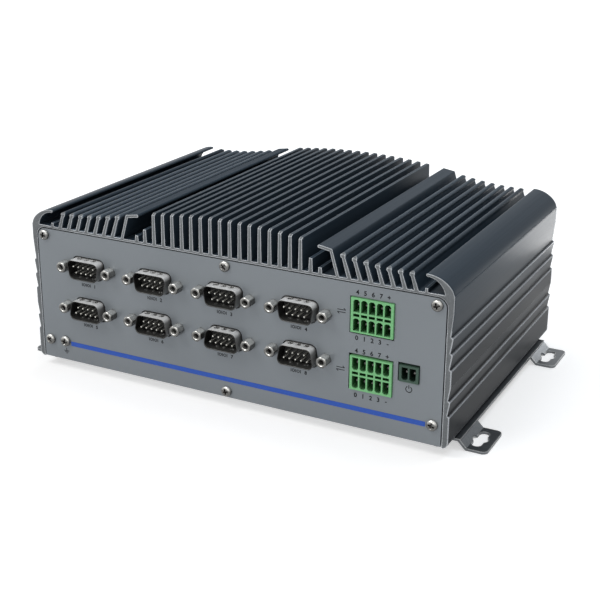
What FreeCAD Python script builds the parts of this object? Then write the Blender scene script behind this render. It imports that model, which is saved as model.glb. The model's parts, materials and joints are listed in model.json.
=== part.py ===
import FreeCAD, Part
import math
import os

# Fanless industrial computer: an extruded finned housing over a sheet-metal front and rear
# panel, a bottom cover and a mounting plate with four ears.  Millimetres, +Z up.
# X runs along the front panel and the front looks along -Y.  The origin is on the face that
# the ears stand on, in the middle of the whole unit, connectors and screw heads included.

V = FreeCAD.Vector
os.makedirs("parts", exist_ok=True)

# ---- mounting plate and its ears -------------------------------------------------------
ear_slot_offset = 6.9
slot_width = 4.4
slot_length = 14.6
keyhole_d = 6.9
ear_width = 22.0
ear_margin = 6.3
ear_drop = 3.5
ear_corner_r = 2.5
plate_t = 1.2
plate_overhang = 1.6
plate_front_inset = 11.3
plate_rear_inset = 10.2

# ---- housing extrusion -----------------------------------------------------------------
body_width = 210.0
body_depth = 143.5
body_height = 67.0
wall_t = 2.6
wall_foot_r = 2.5
deck_t = 4.2
deck_rim_t = 1.1
boss_size = 8.0
boss_hole_d = 3.0
rail_width = 8.0
rail_t = 3.5
guide_reach = 3.8
guide_t = 1.5
board_play = 0.15

groove_heights = [49.4, 42.3, 35.2, 21.4, 14.6]
groove_depth = 0.9
groove_ramp = 6.0
groove_top_ramp = 10.0
groove_step = 0.6

lip_height = 7.8
lip_side_r = 7.5
lip_t = 1.2
lip_reach = 12.4
lip_sink = 0.4
pocket_wall = 4.0
pocket_stub_inset = 12.0
pocket_stub_height = 1.7
pocket_stub_t = 1.2

# ---- cooling fins ----------------------------------------------------------------------
fin_root_t = 1.9
fin_tip_t = 1.4
fin_sink = 0.6
centre_fins = 16
centre_pitch = 4.87
centre_height = 16.3
arch_radius = 300.0
tall_stub_height = 6.0
low_stub_height = 2.6
low_stub_shift = 0.5
side_fins = 7
side_pitch = 4.93
side_inset = 16.3
side_height = 7.6
side_rise = 0.08
side_lean = 18.0
fin_head_d = 2.2
flange_fin_height = 10.9
flange_length = 5.5
flange_slope = 9.0
flange_t = 1.3
fin_end_drop = 0.7
fin_end_run = 1.4
fin_end_width = 3.4

# ---- panels and cover ------------------------------------------------------------------
panel_t = 1.2
panel_seam = 0.55
panel_lift = 0.5
panel_corner_r = 4.0
cover_t = 1.2
cover_gap = 0.2
cover_tab_width = 14.0
cover_tab_height = 8.5
stripe_left_inset = 15.6
stripe_right_inset = 7.0
stripe_rise = 7.7
stripe_height = 2.2
stripe_t = 0.1

# ---- fasteners -------------------------------------------------------------------------
screw_d = 2.9
screw_hole_d = 3.3
screw_head_d = 5.0
screw_head_h = 1.7
screw_rim_share = 0.55
screw_length = 7.0
tab_screw_extra = 1.0
panel_screw_inset = 7.0
panel_screw_drop = 4.7
panel_screw_rise = 9.7
centre_screw_drop = 4.3
centre_screw_rise = 3.5
ground_screw_inset = 15.8
ground_screw_rise = 10.2
ground_head_d = 5.2
cover_screw_inset = 6.2
plate_screws_per_side = 3

# ---- nine-pole serial ports ------------------------------------------------------------
port_columns = 4
port_pitch = 36.68
port_centre_x = -18.5
port_upper_drop = 17.7
port_lower_rise = 29.1
jack_pitch = 24.99
jack_flats = 4.76
jack_height = 4.9
jack_thread_d = 2.6
jack_stud_length = 6.5
jack_floor = 0.6
shell_width = 17.9
shell_height = 9.3
shell_side_angle = 10.0
shell_corner_r = 2.4
shell_t = 0.5
shell_reach = 6.1
shell_flange_width = 30.8
shell_flange_height = 12.5
shell_flange_t = 0.8
shell_gap = 0.7
insulator_play = 0.1
insulator_recess = 5.4
insulator_step = 0.5
pin_d = 1.0
pin_tip_d = 0.4
pin_taper = 0.6
pin_sides = 8
pin_recess = 0.5
pin_pitch = 2.77
pin_row_gap = 2.84

# ---- plug-in terminal headers ----------------------------------------------------------
pole_pitch = 3.5
header_poles = 5
header_margin = 0.8
header_front = 0.9
header_height = 15.3
header_x = 70.1
header_upper_drop = 15.1
header_lower_rise = 25.9
header_gap = 0.25
header_slack = 0.8
cavity_width = 2.8
cavity_height = 5.5
cavity_depth = 8.5
key_size = 0.75
key_slot_height = 1.2
key_slot_depth = 3.0
row_pitch = 8.3
header_pin = 0.8
header_pin_recess = 2.5
remote_poles = 2
remote_offset = 17.0
remote_rise = 30.3
remote_height = 7.3

# ---- boards and what they carry --------------------------------------------------------
board_t = 1.6
io_board_gap = 8.8
io_board_side_gap = 1.0
io_board_top_gap = 6.3
io_board_rise = 7.5
main_board_rise = 37.5
main_board_front_gap = 4.5
main_board_rear_gap = 3.0
link_width = 64.0
link_height = 6.0
link_depth = 9.5
cpu_size = 34.0
cpu_t = 2.2
cpu_x = -6.0
cpu_y = 4.0
pad_t = 0.5
block_width = 66.0
block_depth = 58.0
block_screw_inset = 6.0
memory_length = 67.6
memory_depth = 30.0
memory_t = 1.2
memory_side_gap = 5.6
memory_inset = 32.0
memory_clip = 1.0
memory_grip = 3.0
socket_height = 5.2
socket_depth = 7.0
card_length = 80.0
card_width = 22.0
card_t = 0.8
card_side_gap = 8.4
card_inset = 24.0
card_lift = 3.2
card_post_d = 5.0
card_socket_back = 4.0
card_socket_grip = 3.0
card_socket_floor = 0.7
cell_d = 20.0
cell_t = 3.2
cell_inset = 47.0
cell_y = 22.0
holder_margin = 1.4
holder_base = 1.6
holder_grip = 2.2
coil_size = 10.0
coil_height = 5.0
coil_count = 4
coil_pitch = 13.0
coil_corner = 1.2
coil_inset = 23.0
coil_y = 24.0
capacitor_d = 8.0
capacitor_height = 9.0
capacitor_count = 3
capacitor_pitch = 11.0
capacitor_inset = 21.0
capacitor_y = 4.0

# ---- rear connectors -------------------------------------------------------------------
rear_reach = 0.6
rear_play = 0.2
tongue_recess = 1.5
inlet_inset = 21.0
inlet_poles = 3
inlet_pole_pitch = 5.08
inlet_margin = 1.3
inlet_height = 8.6
inlet_length = 12.0
inlet_cavity = 4.3
inlet_cavity_height = 6.4
inlet_cavity_lift = 0.4
inlet_cavity_depth = 8.0
inlet_pin = 1.0
inlet_pin_recess = 2.0
lan_x = [8.0, 27.0]
lan_width = 16.0
lan_height = 13.5
lan_length = 21.0
lan_mouth_width = 11.8
lan_mouth_height = 7.0
lan_mouth_floor = 1.6
lan_latch_width = 6.0
lan_latch_height = 2.4
lan_mouth_depth = 13.0
usb_x = [-14.0, -34.0]
usb_width = 14.4
usb_height = 15.6
usb_length = 17.5
usb_mouth_width = 12.5
usb_mouth_height = 5.1
usb_mouth_depth = 12.0
usb_tongue_t = 1.9
usb_tongue_width = 11.1
usb_tongue_gap = 0.5
usb_mouth_pitch = 7.6
video_x = -62.0
video_width = 17.8
video_height = 6.8
video_length = 16.0
video_mouth_width = 16.0
video_mouth_height = 4.8
video_mouth_depth = 10.0
video_tongue_width = 13.0
video_tongue_t = 1.2
video_corner_share = 0.4
plug_left_inset = 19.0
plug_right_inset = 39.0
plug_z = 16.0
plug_d = 9.0
plug_hole_d = 6.5
plug_cap_t = 1.4
plug_stem_length = 4.0

# ---- levels and planes that follow -----------------------------------------------------
half_width = body_width / 2.0
inner_half = half_width - wall_t
plate_top = ear_drop + plate_t
body_z = plate_top
deck_top = body_z + body_height
deck_bottom = deck_top - deck_t
front_y = -(body_depth + screw_head_h - jack_height) / 2.0
rear_y = front_y + body_depth
slot_pitch_x = body_width + 2 * ear_slot_offset
ear_rows = [front_y + plate_front_inset + ear_width / 2.0,
            rear_y - plate_rear_inset - ear_width / 2.0]
panel_z = body_z + panel_lift
panel_top = deck_top - deck_rim_t - panel_seam
panel_half = inner_half - panel_seam
seat_front_y = front_y + panel_t
seat_rear_y = rear_y - panel_t
boss_x = half_width - panel_screw_inset
boss_top_z = deck_top - panel_screw_drop
boss_low_z = body_z + panel_screw_rise
board_top = body_z + main_board_rise + board_t
board_bottom = body_z + main_board_rise
io_board_y = seat_front_y + io_board_gap
remote_x = header_x + remote_offset
inlet_x = half_width - inlet_inset
plug_x = [plug_left_inset - half_width, half_width - plug_right_inset]
coil_x = coil_inset - half_width
capacitor_x = capacitor_inset - half_width
cell_x = half_width - cell_inset


# ---- helpers ---------------------------------------------------------------------------
def save(shape, node):
    shape.exportStep("parts/" + node + ".step")


def group(shapes):
    return Part.makeCompound(shapes)


def box(x0, x1, y0, y1, z0, z1):
    return Part.makeBox(x1 - x0, y1 - y0, z1 - z0, V(x0, y0, z0))


def centred_box(x, z, width, height, y0, y1):
    return box(x - width / 2.0, x + width / 2.0, y0, y1, z - height / 2.0, z + height / 2.0)


def rod_y(x, z, diameter, y0, y1):
    return Part.makeCylinder(diameter / 2.0, y1 - y0, V(x, y0, z), V(0, 1, 0))


def rod_z(x, y, diameter, z0, z1):
    return Part.makeCylinder(diameter / 2.0, z1 - z0, V(x, y, z0), V(0, 0, 1))


def prism_y(points, y0, y1):
    """Solid of an XZ outline drawn from y0 to y1."""
    corners = [V(x, y0, z) for x, z in points]
    face = Part.Face(Part.makePolygon(corners + corners[:1]))
    return face.extrude(V(0, y1 - y0, 0))


def edges_along(shape, direction):
    """Straight edges of a shape that run along a direction."""
    found = []
    for edge in shape.Edges:
        if isinstance(edge.Curve, Part.Line) and abs(edge.tangentAt(0).dot(direction)) > 0.999:
            found.append(edge)
    return found


def mirror_x(shape):
    return shape.mirror(V(0, 0, 0), V(1, 0, 0))


def both_sides(shape):
    return [shape, mirror_x(shape)]


def regular_outline(x, z, radius, sides):
    """Corners of a regular XZ outline with a flat side on the right."""
    points = []
    for i in range(sides):
        angle = 2.0 * math.pi * (i + 0.5) / sides
        points.append((x + radius * math.cos(angle), z + radius * math.sin(angle)))
    return points


def screw(head_d, length, side=-1):
    """Pan-head screw on the Y axis; its head's seat is at y = 0 and its head points to side."""
    rim_h = screw_head_h * screw_rim_share
    head = Part.makeCylinder(head_d / 2.0, rim_h, V(0, 0, 0), V(0, side, 0))
    crown = Part.makeCone(head_d / 2.0, head_d / 3.0, screw_head_h - rim_h,
                          V(0, side * rim_h, 0), V(0, side, 0))
    shank = Part.makeCylinder(screw_d / 2.0, length, V(0, 0, 0), V(0, -side, 0))
    return head.fuse([crown, shank]).removeSplitter()


def placed(shape, x, y, z):
    copy = shape.copy()
    copy.translate(V(x, y, z))
    return copy


def upward_screw(x, y, z, length):
    """Pan-head screw driven upwards, its head's seat at height z."""
    shape = screw(screw_head_d, length)
    shape.rotate(V(0, 0, 0), V(1, 0, 0), 90)
    return placed(shape, x, y, z)


# ---- housing ---------------------------------------------------------------------------
def wall_outline():
    """Right wall with its grooved outer face, from the foot up to the deck's top."""
    points = [(inner_half, body_z), (half_width - wall_foot_r, body_z)]
    for i in range(1, 5):
        angle = math.radians(-90.0 + 90.0 * i / 4)
        points.append((half_width - wall_foot_r + wall_foot_r * math.cos(angle),
                       body_z + wall_foot_r + wall_foot_r * math.sin(angle)))
    for i in reversed(range(len(groove_heights))):
        lip_z = body_z + groove_heights[i]
        ramp = groove_ramp if i else groove_top_ramp
        points.append((half_width, lip_z - groove_step / 2.0))
        points.append((half_width - groove_depth, lip_z + groove_step / 2.0))
        points.append((half_width, lip_z + ramp))
    points.append((half_width, deck_top))
    points.append((inner_half, deck_top))
    return points


def arc_xz(centre, radius, start, end):
    """Arc in the front plane about an XZ centre, between two angles in radians."""
    points = []
    for angle in (start, (start + end) / 2.0, end):
        points.append(V(centre[0] + radius * math.cos(angle), front_y, centre[1] + radius * math.sin(angle)))
    return Part.Arc(*points).toShape()


def flattened_quarter(right_x, low_z, span, height, radius):
    """Two tangent arcs from an upright start on the right to a level crown on the left."""
    crown_radius = ((span - radius) ** 2 + height ** 2 - radius ** 2) / (2.0 * (height - radius))
    side_centre = (right_x - radius, low_z)
    crown_centre = (right_x - span, low_z + height - crown_radius)
    joint = math.atan2(side_centre[1] - crown_centre[1], side_centre[0] - crown_centre[0])
    return [arc_xz(side_centre, radius, 0.0, joint),
            arc_xz(crown_centre, crown_radius, joint, math.pi / 2.0)]


def lip():
    """Corner lip that curls inwards over the pocket beside the outermost fin."""
    low_z = deck_top - deck_rim_t - lip_sink
    top_z = deck_top + lip_height
    inner_x = half_width - pocket_wall
    tip_x = half_width - lip_reach + lip_t / 2.0
    outer = flattened_quarter(half_width, low_z, half_width - tip_x, top_z - low_z, lip_side_r)
    pocket_r = inner_x - tip_x
    inner_crown = (tip_x, top_z - lip_t - pocket_r)
    tip_top = V(tip_x, front_y, top_z)
    tip_mid = V(tip_x - lip_t / 2.0, front_y, top_z - lip_t / 2.0)
    tip_low = V(tip_x, front_y, top_z - lip_t)
    inner_end = V(inner_x, front_y, inner_crown[1])
    foot = V(inner_x, front_y, low_z)
    edges = outer + [Part.Arc(tip_top, tip_mid, tip_low).toShape(),
                     arc_xz(inner_crown, pocket_r, math.pi / 2.0, 0.0),
                     Part.LineSegment(inner_end, foot).toShape(),
                     Part.LineSegment(foot, V(half_width, front_y, low_z)).toShape()]
    return Part.Face(Part.Wire(edges)).extrude(V(0, body_depth, 0))


def fin(base_x, height, lean=0.0):
    """Tapered fin that leans towards the middle by an angle in degrees."""
    shift = -height * math.tan(math.radians(lean))
    low = deck_top - fin_sink
    root = fin_root_t / 2.0
    tip = fin_tip_t / 2.0
    outline = [(base_x - root, low), (base_x + root, low), (base_x + root, deck_top),
               (base_x + shift + tip, deck_top + height),
               (base_x + shift - tip, deck_top + height), (base_x - root, deck_top)]
    return prism_y(outline, front_y, rear_y)


def end_wedges(x, top):
    """Two wedges that slope the front and rear end of a fin's top edge."""
    wedges = []
    low_x = x - fin_end_width / 2.0
    high_z = top + fin_end_drop / fin_end_run
    for end_y, inward in ((front_y, 1), (rear_y, -1)):
        corners = [V(low_x, end_y - inward, top - fin_end_drop * (1 + 1 / fin_end_run)),
                   V(low_x, end_y + inward * (fin_end_run + 1), high_z),
                   V(low_x, end_y - inward, high_z)]
        face = Part.Face(Part.makePolygon(corners + corners[:1]))
        wedges.append(face.extrude(V(fin_end_width, 0, 0)))
    return wedges


def centre_group():
    """Upright fins under an arched crest, then the two stubs beside them (right half)."""
    solids = []
    cuts = []
    for i in range(centre_fins // 2):
        x = centre_pitch * (i + 0.5)
        sag = arch_radius - math.sqrt(arch_radius ** 2 - x ** 2)
        height = centre_height - sag
        solids.append(fin(x, height))
        cuts += end_wedges(x, deck_top + height)
    last_x = centre_pitch * (centre_fins - 1) / 2.0
    solids.append(fin(last_x + centre_pitch, tall_stub_height))
    solids.append(fin(last_x + 2 * centre_pitch - low_stub_shift, low_stub_height))
    return solids, cuts


def side_group():
    """Leaning fins with rounded heads, the flanged fin and the pocket's stub (right half)."""
    solids = []
    cuts = []
    first_x = half_width - side_inset
    slope = math.tan(math.radians(side_lean))
    for i in range(side_fins):
        base_x = first_x - side_pitch * i
        height = side_height + side_rise * i * i
        head_z = height - fin_head_d / 2.0
        solids.append(fin(base_x, head_z, side_lean))
        head_x = base_x - head_z * slope
        solids.append(rod_y(head_x, deck_top + head_z, fin_head_d, front_y, rear_y))
        cuts += end_wedges(head_x, deck_top + height)
    solids += flanged_fin(first_x - side_pitch * side_fins)
    stub_x = half_width - pocket_stub_inset
    solids.append(centred_box(stub_x, deck_top + pocket_stub_height / 2.0, pocket_stub_t,
                              pocket_stub_height, front_y, rear_y))
    return solids, cuts


def bar(x0, z0, x1, z1, thickness):
    """Bar between two points of an XZ outline, with round ends."""
    length = math.hypot(x1 - x0, z1 - z0)
    dx = (z1 - z0) / length * thickness / 2.0
    dz = (x1 - x0) / length * thickness / 2.0
    strip = prism_y([(x0 - dx, z0 + dz), (x1 - dx, z1 + dz), (x1 + dx, z1 - dz), (x0 + dx, z0 - dz)],
                    front_y, rear_y)
    return [strip, rod_y(x0, z0, thickness, front_y, rear_y), rod_y(x1, z1, thickness, front_y, rear_y)]


def flanged_fin(base_x):
    """Leaning web with a sloping flange that reaches towards the middle."""
    bend_x = base_x - flange_fin_height * math.tan(math.radians(side_lean))
    bend_z = deck_top + flange_fin_height
    tip_x = bend_x - flange_length * math.cos(math.radians(flange_slope))
    tip_z = bend_z + flange_length * math.sin(math.radians(flange_slope))
    web = bar(base_x, deck_top - flange_t, bend_x, bend_z, flange_t)
    return web + bar(bend_x, bend_z, tip_x, tip_z, flange_t)


def inner_rails():
    """Screw bosses, board guides and foot rail along the inside of the right wall."""
    half_boss = boss_size / 2.0
    slot_low = board_bottom - board_play
    slot_high = board_top + board_play
    guide_x = inner_half - guide_reach
    return [box(boss_x - half_boss, inner_half, front_y, rear_y, boss_top_z - half_boss, deck_bottom),
            box(boss_x - half_boss, inner_half, front_y, rear_y,
                boss_low_z - half_boss, boss_low_z + half_boss),
            box(guide_x, inner_half, front_y, rear_y, slot_high, slot_high + guide_t),
            box(guide_x, inner_half, front_y, rear_y, slot_low - guide_t, slot_low),
            box(inner_half - rail_width, inner_half, front_y, rear_y,
                body_z + cover_t, body_z + cover_t + rail_t)]


def panel_blank(gap, y0, y1, low_z):
    """Panel outline with two rounded top corners, grown by a gap."""
    half = panel_half + gap
    top = panel_top + gap
    blank = box(-half, half, y0, y1, low_z, top)
    corners = []
    for edge in edges_along(blank, V(0, 1, 0)):
        if edge.CenterOfMass.z > top - 0.01:
            corners.append(edge)
    return blank.makeFillet(panel_corner_r + gap, corners)


def panel_screw_points():
    points = []
    for side in (-1, 1):
        points.append((side * boss_x, boss_top_z))
        points.append((side * boss_x, boss_low_z))
    points.append((0.0, deck_top - centre_screw_drop))
    return points


def cover_screw_points():
    inset = panel_t + boss_size / 2.0
    x = half_width - cover_screw_inset
    return [(sx * x, y) for sx in (-1, 1) for y in (front_y + inset, rear_y - inset)]


def plate_screw_points():
    x = half_width - cover_screw_inset
    step = (ear_rows[1] - ear_rows[0]) / (plate_screws_per_side - 1)
    rows = [ear_rows[0] + step * i for i in range(plate_screws_per_side)]
    return [(sx * x, y) for sx in (-1, 1) for y in rows]


def housing():
    wall = prism_y(wall_outline(), front_y, rear_y)
    half = [wall, lip()] + inner_rails()
    centre_solids, centre_cuts = centre_group()
    side_solids, side_cuts = side_group()
    half += centre_solids + side_solids
    deck = box(-half_width + groove_depth, half_width - groove_depth, front_y, rear_y, deck_bottom, deck_top)
    centre_boss = box(-boss_size / 2.0, boss_size / 2.0, front_y, rear_y,
                      deck_top - centre_screw_drop - boss_size / 2.0, deck_bottom)
    solids = [centre_boss]
    for solid in half:
        solids += both_sides(solid)
    body = deck.fuse(solids).removeSplitter()

    cuts = []
    for cut in centre_cuts + side_cuts:
        cuts += both_sides(cut)
    for y0, y1 in ((front_y - 1, seat_front_y), (seat_rear_y, rear_y + 1)):
        cuts.append(panel_blank(panel_seam, y0, y1, body_z - 1))
    depth = screw_length + 1
    for x, z in panel_screw_points():
        cuts.append(rod_y(x, z, boss_hole_d, seat_front_y, seat_front_y + depth))
        cuts.append(rod_y(x, z, boss_hole_d, seat_rear_y - depth, seat_rear_y))
    for x, y in cover_screw_points() + plate_screw_points():
        cuts.append(rod_z(x, y, boss_hole_d, body_z, body_z + cover_t + rail_t))
    return body.cut(cuts)


# ---- panels, cover and mounting plate --------------------------------------------------
def d_outline(width, height, upright):
    """Four corners of a D shape: the long side is up, or down when it is inverted."""
    lean = height * math.tan(math.radians(shell_side_angle))
    long_half = width / 2.0
    short_half = long_half - lean
    flip = 1 if upright else -1
    return [(-short_half, -flip * height / 2.0), (short_half, -flip * height / 2.0),
            (long_half, flip * height / 2.0), (-long_half, flip * height / 2.0)]


def d_prism(x, z, grow, upright, y0, y1):
    """D-shaped solid with rounded corners, larger than the shell's outline by grow."""
    outline = d_outline(shell_width + 2 * grow, shell_height + 2 * grow, upright)
    points = [(x + dx, z + dz) for dx, dz in outline]
    solid = prism_y(points, y0, y1)
    return solid.makeFillet(shell_corner_r + grow, edges_along(solid, V(0, 1, 0)))


def port_points():
    """Centre of each serial port, with True where the long side is up."""
    points = []
    first = port_centre_x - port_pitch * (port_columns - 1) / 2.0
    for z, upright in ((deck_top - port_upper_drop, True), (body_z + port_lower_rise, False)):
        for i in range(port_columns):
            points.append((first + port_pitch * i, z, upright))
    return points


def header_points():
    """Each two-row header: its centre and True where its key shoulders are up."""
    return [(header_x, deck_top - header_upper_drop, True),
            (header_x, body_z + header_lower_rise, False)]


def header_width(poles):
    return poles * pole_pitch + 2 * header_margin


def header_cutout(x, z, width, height, key_up, y0, y1):
    """Panel cut-out of a header, with slack on the left and on the side away from its keys."""
    low = z - height / 2.0 - (header_slack if key_up else header_gap)
    high = z + height / 2.0 + (header_gap if key_up else header_slack)
    return box(x - width / 2.0 - header_slack, x + width / 2.0 + header_gap, y0, y1, low, high)


def ground_screw_point():
    return (-(half_width - ground_screw_inset), body_z + ground_screw_rise)


def front_panel():
    panel = panel_blank(0, front_y, seat_front_y, panel_z)
    y0 = front_y - 1
    y1 = seat_front_y + 1
    cuts = []
    for x, z, upright in port_points():
        cuts.append(d_prism(x, z, shell_gap, upright, y0, y1))
        for side in (-1, 1):
            cuts.append(rod_y(x + side * jack_pitch / 2.0, z, screw_hole_d, y0, y1))
    for x, z, key_up in header_points():
        cuts.append(header_cutout(x, z, header_width(header_poles), header_height, key_up, y0, y1))
    cuts.append(header_cutout(remote_x, body_z + remote_rise, header_width(remote_poles),
                              remote_height, False, y0, y1))
    for x, z in panel_screw_points() + [(0.0, body_z + centre_screw_rise), ground_screw_point()]:
        cuts.append(rod_y(x, z, screw_hole_d, y0, y1))
    return panel.cut(cuts)


def stripe():
    x0 = -panel_half + stripe_left_inset
    x1 = panel_half - stripe_right_inset
    z = panel_z + stripe_rise
    return box(x0, x1, front_y - stripe_t, front_y, z, z + stripe_height)


def cover_screw_tab(y0, y1):
    """Upturned tab of the bottom cover that takes a panel's lowest screw."""
    return box(-cover_tab_width / 2.0, cover_tab_width / 2.0, y0, y1, body_z, body_z + cover_tab_height)


def bottom_cover():
    half = inner_half - cover_gap
    sheet = box(-half, half, seat_front_y, seat_rear_y, body_z, body_z + cover_t)
    tabs = [cover_screw_tab(seat_front_y, seat_front_y + cover_t),
            cover_screw_tab(seat_rear_y - cover_t, seat_rear_y)]
    cuts = []
    for y0 in (seat_front_y - 1, seat_rear_y - cover_t - 1):
        cuts.append(rod_y(0.0, body_z + centre_screw_rise, boss_hole_d, y0, y0 + cover_t + 2))
    for x, y in cover_screw_points() + plate_screw_points():
        cuts.append(rod_z(x, y, screw_hole_d, body_z - 1, body_z + cover_t + 1))
    return sheet.fuse(tabs).removeSplitter().cut(cuts)


def ear_slot(x, y):
    """Keyhole slot: a round entry between two runs of slot along Y."""
    low = -1.0
    high = plate_top + 1.0
    reach = (slot_length - slot_width) / 2.0
    return [box(x - slot_width / 2.0, x + slot_width / 2.0, y - reach, y + reach, low, high),
            rod_z(x, y - reach, slot_width, low, high), rod_z(x, y + reach, slot_width, low, high),
            rod_z(x, y, keyhole_d, low, high)]


def ear(y):
    """Right ear: the sheet steps down at 45 degrees and runs out flat."""
    mitre = plate_t * math.tan(math.pi / 8)
    edge = half_width + plate_overhang
    outer = slot_pitch_x / 2.0 + ear_margin
    start = edge - plate_t
    outline = [(start - ear_drop, ear_drop), (start, ear_drop), (start + ear_drop, 0), (outer, 0),
               (outer, plate_t), (start + ear_drop + mitre, plate_t), (start + mitre, plate_top),
               (start - ear_drop, plate_top)]
    solid = prism_y(outline, y - ear_width / 2.0, y + ear_width / 2.0)
    corners = []
    for edge_line in edges_along(solid, V(0, 0, 1)):
        if edge_line.CenterOfMass.x > outer - 0.01:
            corners.append(edge_line)
    return solid.makeFillet(ear_corner_r, corners)


def mounting_plate():
    solids = []
    cuts = []
    for y in ear_rows:
        solids += both_sides(ear(y))
        for x in (-slot_pitch_x / 2.0, slot_pitch_x / 2.0):
            cuts += ear_slot(x, y)
    edge = half_width + plate_overhang
    reach = ear_width / 2.0
    sheet = box(-edge, edge, ear_rows[0] - reach, ear_rows[1] + reach, ear_drop, plate_top)
    for x, y in plate_screw_points():
        cuts.append(rod_z(x, y, screw_hole_d, ear_drop - 1, plate_top + 1))
    return sheet.fuse(solids).removeSplitter().cut(cuts)


# ---- serial ports ----------------------------------------------------------------------
def port_shell(x, z, upright):
    """Plated D-shaped shell with its flange behind the panel."""
    tip_y = seat_front_y - shell_reach
    back_y = seat_front_y + shell_flange_t
    outer = d_prism(x, z, 0.0, upright, tip_y, back_y)
    flange = centred_box(x, z, shell_flange_width, shell_flange_height, seat_front_y, back_y)
    cuts = [d_prism(x, z, -shell_t, upright, tip_y - 1, back_y + 1)]
    for side in (-1, 1):
        cuts.append(rod_y(x + side * jack_pitch / 2.0, z, screw_hole_d, seat_front_y - 1, back_y + 1))
    return outer.fuse(flange).cut(cuts)


def insulator_face_y():
    return seat_front_y - shell_reach + insulator_recess


def port_insulator(x, z, upright):
    """Moulding that fills the shell's floor and stands on the board behind it."""
    back_y = seat_front_y + shell_flange_t
    nose = d_prism(x, z, -shell_t - insulator_play, upright, insulator_face_y(), back_y)
    body = centred_box(x, z, shell_flange_width, shell_flange_height - 2 * insulator_step,
                       back_y, io_board_y)
    cuts = []
    for side in (-1, 1):
        cuts.append(rod_y(x + side * jack_pitch / 2.0, z, screw_hole_d, back_y - 1, io_board_y + 1))
    return nose.fuse(body).cut(cuts)


def contact_pin(x, z):
    """Faceted contact with a tapered tip."""
    tip_y = seat_front_y - shell_reach + pin_recess
    wires = []
    for y, radius in ((tip_y, pin_tip_d / 2.0), (tip_y + pin_taper, pin_d / 2.0),
                      (insulator_face_y(), pin_d / 2.0)):
        ring = [V(px, y, pz) for px, pz in regular_outline(x, z, radius, pin_sides)]
        wires.append(Part.makePolygon(ring + ring[:1]))
    return Part.makeLoft(wires, True, True)


def port_pins(x, z, upright):
    pins = []
    flip = 1 if upright else -1
    for i in range(5):
        pins.append(contact_pin(x + (i - 2) * pin_pitch, z + flip * pin_row_gap / 2.0))
    for i in range(4):
        pins.append(contact_pin(x + (i - 1.5) * pin_pitch, z - flip * pin_row_gap / 2.0))
    return pins


def jackscrew(x, z):
    """Hexagonal screw lock: a threaded hole in its head and a stud through the flange."""
    radius = jack_flats / 2.0 / math.cos(math.pi / 6)
    head = prism_y(regular_outline(x, z, radius, 6), front_y - jack_height, front_y)
    hole = rod_y(x, z, jack_thread_d, front_y - jack_height - 1, front_y - jack_floor)
    stud = rod_y(x, z, jack_thread_d, front_y, front_y + jack_stud_length)
    return head.cut(hole).fuse(stud)


# ---- terminal headers ------------------------------------------------------------------
def header_cavity(x, z, key_up):
    """One pole's cavity, with its two corners on the key side cut off."""
    half_w = cavity_width / 2.0
    half_h = cavity_height / 2.0
    flip = 1 if key_up else -1
    points = [(x - half_w, z - flip * half_h), (x + half_w, z - flip * half_h),
              (x + half_w, z + flip * (half_h - key_size)), (x + half_w - key_size, z + flip * half_h),
              (x - half_w + key_size, z + flip * half_h), (x - half_w, z + flip * (half_h - key_size))]
    y0 = front_y - header_front
    return prism_y(points, y0 - 1, y0 + cavity_depth)


def header_row_z(z, key_up):
    """Heights of a two-row header's rows of cavities, the row beside the keys first."""
    flip = 1 if key_up else -1
    shift = (header_height - row_pitch - cavity_height) / 2.0 - header_margin
    return [z + flip * (row_pitch / 2.0 + shift), z - flip * (row_pitch / 2.0 - shift)]


def pole_x(x, poles, i):
    return x + (i - (poles - 1) / 2.0) * pole_pitch


def terminal_header(x, z, key_up):
    """Two rows of plug cavities with a row of coding slots between them."""
    y0 = front_y - header_front
    block = centred_box(x, z, header_width(header_poles), header_height, y0, io_board_y)
    rows = header_row_z(z, key_up)
    middle = (rows[0] + rows[1]) / 2.0
    cuts = []
    for i in range(header_poles):
        px = pole_x(x, header_poles, i)
        for row_z in rows:
            cuts.append(header_cavity(px, row_z, key_up))
        cuts.append(centred_box(px, middle, cavity_width, key_slot_height, y0 - 1, y0 + key_slot_depth))
    return block.cut(cuts)


def header_pins(x, z_rows, poles):
    """Square contacts of one header, one in each cavity."""
    y0 = front_y + header_pin_recess - header_front
    y1 = front_y - header_front + cavity_depth
    pins = []
    for row_z in z_rows:
        for i in range(poles):
            pins.append(centred_box(pole_x(x, poles, i), row_z, header_pin, header_pin, y0, y1))
    return pins


def remote_header():
    """Two-pole header for a remote switch."""
    z = body_z + remote_rise
    y0 = front_y - header_front
    block = centred_box(remote_x, z, header_width(remote_poles), remote_height, y0, io_board_y)
    cuts = []
    for i in range(remote_poles):
        cuts.append(header_cavity(pole_x(remote_x, remote_poles, i), z, False))
    return block.cut(cuts)


# ---- boards ----------------------------------------------------------------------------
def io_board():
    """Upright board between the screw bosses that carries the front connectors."""
    half = boss_x - boss_size / 2.0 - io_board_side_gap
    return box(-half, half, io_board_y, io_board_y + board_t,
               body_z + io_board_rise, deck_bottom - io_board_top_gap)


def main_board_span():
    return (io_board_y + board_t + main_board_front_gap, seat_rear_y - main_board_rear_gap)


def main_board():
    y0, y1 = main_board_span()
    half = inner_half - board_play
    board = box(-half, half, y0, y1, board_bottom, board_top)
    cuts = []
    for x, y in block_screw_points():
        cuts.append(rod_z(x, y, screw_hole_d, board_bottom - 1, board_top + 1))
    return board.cut(cuts)


def link_connector():
    """Connector that joins the upright front board to the main board."""
    y0 = io_board_y + board_t
    half = link_width / 2.0
    return box(-half, half, y0, y0 + link_depth, board_top, board_top + link_height)


def block_screw_points():
    dx = block_width / 2.0 - block_screw_inset
    dy = block_depth / 2.0 - block_screw_inset
    return [(cpu_x + sx * dx, cpu_y + sy * dy) for sx in (-1, 1) for sy in (-1, 1)]


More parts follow.
